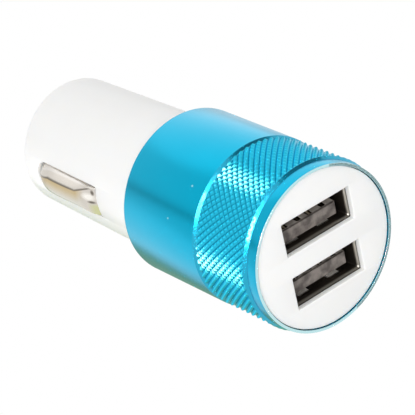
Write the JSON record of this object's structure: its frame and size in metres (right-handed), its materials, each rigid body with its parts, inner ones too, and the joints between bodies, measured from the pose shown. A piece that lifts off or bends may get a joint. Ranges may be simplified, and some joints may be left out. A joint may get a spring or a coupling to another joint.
{
  "type": "usb car charger",
  "caption": "Car charger with a tapered white plug, a blue knurled metal sleeve and USB ports one above the other in its face.",
  "frame": {"origin": "centre of the sleeve's front rim, the lowest plane of the charger as it stands on its head", "axes": "+Z along the axis from the face to the plug's tip, +X towards side_contact_right, +Y from the lower port to the upper port"},
  "size_m": [0.0254, 0.0254, 0.0637],
  "materials": {
    "barrel_white": "smooth white moulding, satin",
    "anodised_blue": "bright cyan-blue anodising, satin with a soft sheen",
    "plate_white": "smooth white moulding, satin",
    "nickel_plate": "nickel plated, polished",
    "contact_nickel": "nickel plated spring sheet, polished, slightly warm",
    "spring_steel": "drawn wire, dull bright",
    "turned_brass": "turned brass",
    "circuit_board": "green solder mask on glass epoxy",
    "shell_steel": "tin plated sheet, satin",
    "socket_plastic": "dark moulded nylon",
    "gilt_contact": "gold flashed contact strip",
    "chip_moulding": "black epoxy",
    "ferrite": "sintered ferrite, dark grey",
    "copper_wire": "enamelled copper wire",
    "can_aluminium": "drawn can, bright",
    "chip_ceramic": "tan ceramic",
    "chip_resistor": "black glaze on ceramic"
  },
  "bodies": {
    "housing": {"barrel": "barrel_white", "sleeve": "anodised_blue", "face_plate": "plate_white", "tip_spring": "spring_steel", "spring_seat": "turned_brass", "main_board": "circuit_board", "port_board": "circuit_board", "upper_shell": "shell_steel", "lower_shell": "shell_steel", "upper_insulator": "socket_plastic", "lower_insulator": "socket_plastic", "upper_contact_1": "gilt_contact", "upper_contact_2": "gilt_contact", "upper_contact_3": "gilt_contact", "upper_contact_4": "gilt_contact", "lower_contact_1": "gilt_contact", "lower_contact_2": "gilt_contact", "lower_contact_3": "gilt_contact", "lower_contact_4": "gilt_contact", "regulator_chip": "chip_moulding", "inductor_core": "ferrite", "inductor_winding": "copper_wire", "input_capacitor": "can_aluminium", "output_capacitor": "can_aluminium", "flyback_diode": "chip_moulding", "ceramic_capacitor": "chip_ceramic", "feedback_resistor_1": "chip_resistor", "feedback_resistor_2": "chip_resistor"},
    "tip": {"tip_contact": "nickel_plate"},
    "side_right": {"side_contact_right": "contact_nickel"},
    "side_left": {"side_contact_left": "contact_nickel"}
  },
  "joints": [
    {"name": "tip_press", "type": "slide", "parent": "housing", "child": "tip", "axis": [0, 0, -1], "range_m": [0, 0.0025], "stiffness_N_per_m": 1500, "springref_m": -0.001, "deforming": ["tip_spring"]},
    {"name": "side_press_right", "type": "hinge", "parent": "housing", "child": "side_right", "pos_m": [0.0073, 0, 0.0376], "axis": [0, -1, 0], "range_deg": [0, 5.5], "stiffness_Nm_per_rad": 0.6, "springref_deg": -2.86},
    {"name": "side_press_left", "type": "hinge", "parent": "housing", "child": "side_left", "pos_m": [-0.0073, 0, 0.0376], "axis": [0, 1, 0], "range_deg": [0, 5.5], "stiffness_Nm_per_rad": 0.6, "springref_deg": -2.86}
  ]
}
